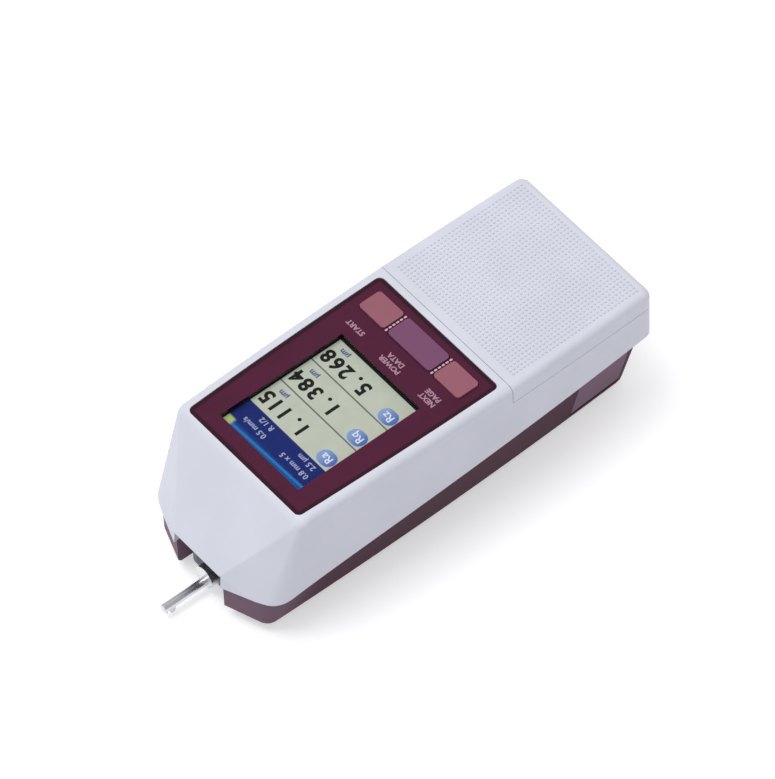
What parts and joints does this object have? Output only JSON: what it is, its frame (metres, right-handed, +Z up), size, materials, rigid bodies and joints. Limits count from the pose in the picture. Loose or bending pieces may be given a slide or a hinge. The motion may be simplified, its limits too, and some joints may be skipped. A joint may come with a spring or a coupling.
{
  "type": "portable surface roughness tester",
  "caption": "Handheld surface roughness tester: bowed case with display, keys and sliding cover, and a drive unit underneath that traverses a stylus detector.",
  "frame": {"origin": "middle of the overall length, on the measuring plane that the drive unit stands on", "axes": "+X to the rear end, away from the stylus; +Y to the left side when looking along +X from the stylus end toward the rear; +Z up"},
  "size_m": [0.174, 0.0658, 0.0525],
  "materials": {
    "white_plastic": "satin moulded",
    "maroon_panel": "satin",
    "clear_window": "clear",
    "display": "pale reflective display",
    "circuit_board": "solder mask",
    "pink_key": "satin",
    "violet_key": "satin",
    "dark_plastic": "fine grain",
    "rubber": "matte",
    "grey_key": "satin",
    "enter_key": "satin",
    "blue_key": "satin",
    "red_key": "satin",
    "maroon_case": "fine grain",
    "door_plastic": "fine grain",
    "cell_wrap": "shrink wrap",
    "screw_steel": "turned",
    "bright_steel": "ground",
    "socket_black": "matte",
    "socket_shell": "plated",
    "drive_metal": "satin grey",
    "plate_metal": "milled",
    "motor_shell": "drawn",
    "coupling_brass": "turned",
    "detector_metal": "dark",
    "coil_copper": "wound"
  },
  "bodies": {
    "case": {"upper_cover": "white_plastic", "front_panel": "maroon_panel", "display_window": "clear_window", "display_module": "display", "key_board": "circuit_board", "keypad_deck": "dark_plastic", "keypad_membrane": "rubber", "lower_case": "maroon_case", "main_board": "circuit_board", "battery_pack": "cell_wrap", "case_screws": "screw_steel", "port_board": "circuit_board", "power_jack": "socket_black", "usb_socket": "socket_shell", "data_socket": "socket_black", "drive_housing": "drive_metal", "drive_front_plate": "plate_metal", "drive_rear_cap": "plate_metal", "guide_rods": "bright_steel", "drive_bulkhead": "plate_metal", "motor_bracket": "plate_metal", "drive_motor": "motor_shell", "drive_board": "circuit_board", "drive_plug": "socket_black", "drive_socket": "socket_black", "screw_bearings": "bright_steel"},
    "start_key": {"start_key": "pink_key"},
    "data_key": {"data_key": "violet_key"},
    "page_key": {"page_key": "pink_key"},
    "up_key": {"up_key": "grey_key"},
    "down_key": {"down_key": "grey_key"},
    "left_key": {"left_key": "grey_key"},
    "right_key": {"right_key": "grey_key"},
    "enter_key": {"enter_key": "enter_key"},
    "escape_key": {"escape_key": "grey_key"},
    "blue_key": {"blue_key": "blue_key"},
    "red_key": {"red_key": "red_key"},
    "slide_cover": {"slide_cover": "white_plastic"},
    "connector_door": {"connector_door": "door_plastic"},
    "screw": {"lead_screw": "screw_steel", "screw_coupling": "coupling_brass"},
    "carriage": {"carriage": "plate_metal", "detector_body": "detector_metal", "nose_pipe": "bright_steel", "pivot_pin": "bright_steel", "pickup_coil": "coil_copper"},
    "stylus": {"stylus_arm": "bright_steel"}
  },
  "joints": [
    {"name": "start_key_press", "type": "slide", "parent": "case", "child": "start_key", "axis": [0, 0, 1], "range_m": [-0.0004, 0], "stiffness_N_per_m": 900},
    {"name": "data_key_press", "type": "slide", "parent": "case", "child": "data_key", "axis": [0, 0, 1], "range_m": [-0.0004, 0], "stiffness_N_per_m": 900},
    {"name": "page_key_press", "type": "slide", "parent": "case", "child": "page_key", "axis": [0, 0, 1], "range_m": [-0.0004, 0], "stiffness_N_per_m": 900},
    {"name": "up_key_press", "type": "slide", "parent": "case", "child": "up_key", "axis": [0, 0, 1], "range_m": [-0.0004, 0], "stiffness_N_per_m": 900},
    {"name": "down_key_press", "type": "slide", "parent": "case", "child": "down_key", "axis": [0, 0, 1], "range_m": [-0.0004, 0], "stiffness_N_per_m": 900},
    {"name": "left_key_press", "type": "slide", "parent": "case", "child": "left_key", "axis": [0, 0, 1], "range_m": [-0.0004, 0], "stiffness_N_per_m": 900},
    {"name": "right_key_press", "type": "slide", "parent": "case", "child": "right_key", "axis": [0, 0, 1], "range_m": [-0.0004, 0], "stiffness_N_per_m": 900},
    {"name": "enter_key_press", "type": "slide", "parent": "case", "child": "enter_key", "axis": [0, 0, 1], "range_m": [-0.0004, 0], "stiffness_N_per_m": 900},
    {"name": "escape_key_press", "type": "slide", "parent": "case", "child": "escape_key", "axis": [0, 0, 1], "range_m": [-0.0004, 0], "stiffness_N_per_m": 900},
    {"name": "blue_key_press", "type": "slide", "parent": "case", "child": "blue_key", "axis": [0, 0, 1], "range_m": [-0.0004, 0], "stiffness_N_per_m": 900},
    {"name": "red_key_press", "type": "slide", "parent": "case", "child": "red_key", "axis": [0, 0, 1], "range_m": [-0.0004, 0], "stiffness_N_per_m": 900},
    {"name": "cover_slide", "type": "slide", "parent": "case", "child": "slide_cover", "axis": [1, 0, 0], "range_m": [0, 0.036]},
    {"name": "door_swing", "type": "hinge", "parent": "case", "child": "connector_door", "pos_m": [0.0689, -0.02434, 0.0076], "axis": [0.999, 0.0447, 0], "range_deg": [0, 80]},
    {"name": "traverse", "type": "slide", "parent": "case", "child": "carriage", "axis": [1, 0, 0], "range_m": [0, 0.0175]},
    {"name": "screw_spin", "type": "hinge", "parent": "case", "child": "screw", "pos_m": [-0.03, 0, 0.0175], "axis": [1, 0, 0], "range_deg": [-5, 6305]},
    {"name": "stylus_pivot", "type": "hinge", "parent": "carriage", "child": "stylus", "pos_m": [-0.0605, 0, 0.0042], "axis": [0, 1, 0], "range_deg": [-0.4, 0.6]}
  ],
  "couplings": [
    {"joint": "screw_spin", "follows": "traverse", "rad_per_m": 6283.2}
  ]
}
